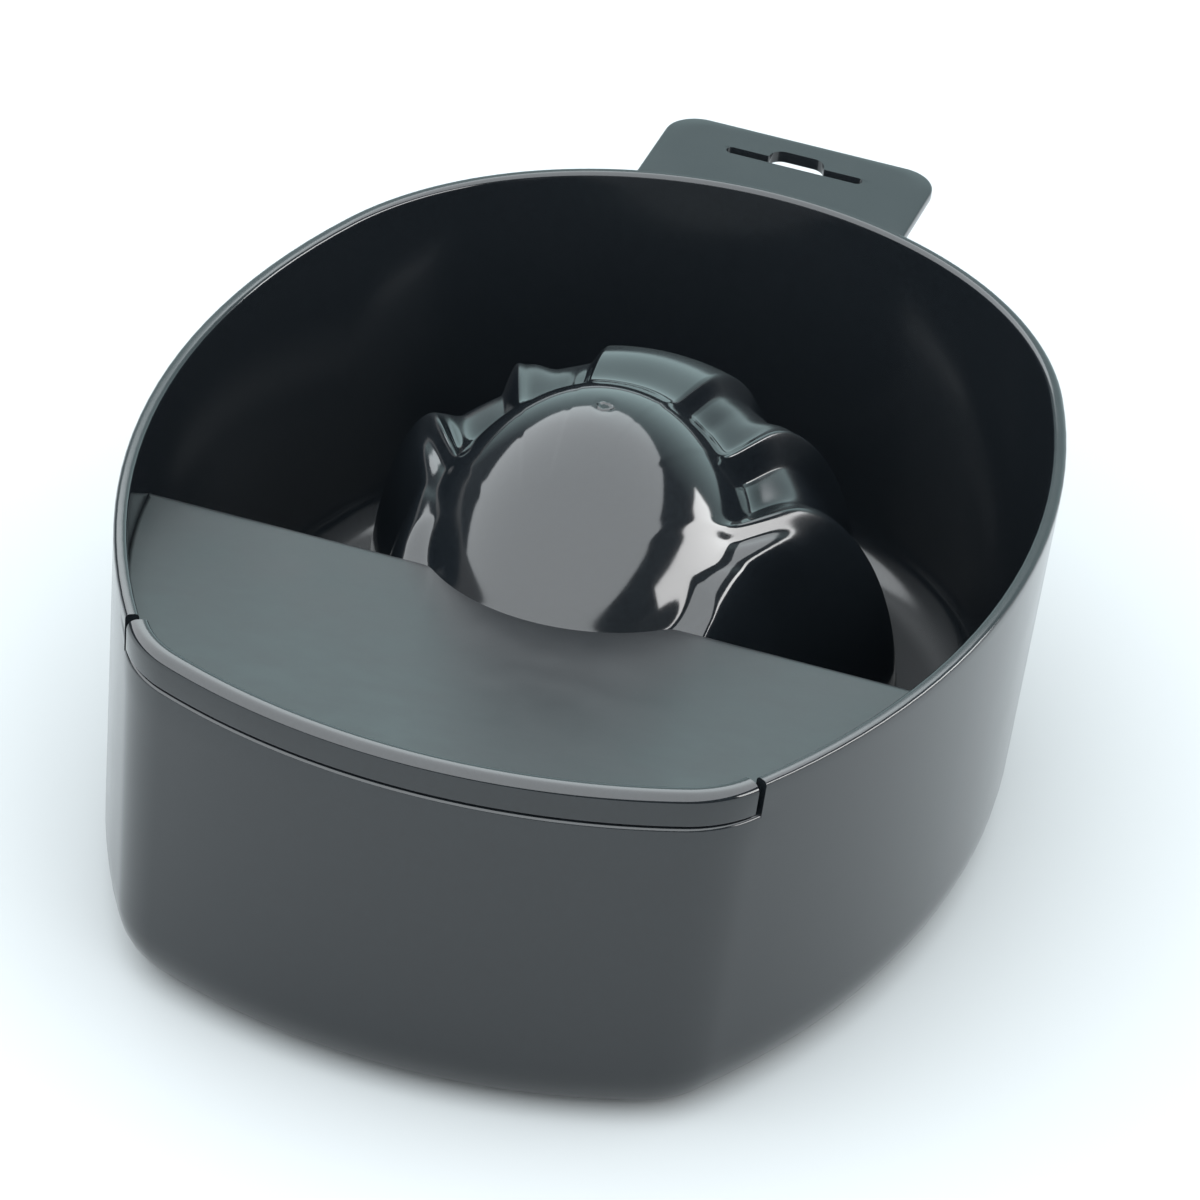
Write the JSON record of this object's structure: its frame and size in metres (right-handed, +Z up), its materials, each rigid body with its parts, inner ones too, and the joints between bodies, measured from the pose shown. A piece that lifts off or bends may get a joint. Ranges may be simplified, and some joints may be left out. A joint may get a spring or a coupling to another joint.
{
  "type": "manicure bowl",
  "caption": "Free-standing oval manicure bowl with a sloping wrist shelf, a fluted palm mound standing in a deep finger moat, and a flat hang tab.",
  "frame": {"origin": "middle of the bowl's footprint, tab included, on the surface that it stands on", "axes": "+Y towards the hang tab at the back, +X to the right of a user at the wrist shelf, +Z up"},
  "size_m": [0.13, 0.1908, 0.067],
  "materials": {
    "black_polystyrene": "glossy injection moulding, black"
  },
  "bodies": {
    "bowl": {"outer_bowl": "black_polystyrene"},
    "rest": {"hand_rest": "black_polystyrene"}
  },
  "joints": [
    {"name": "rest_lift", "type": "slide", "parent": "bowl", "child": "rest", "axis": [0, 0, 1], "range_m": [0, 0.065]}
  ]
}
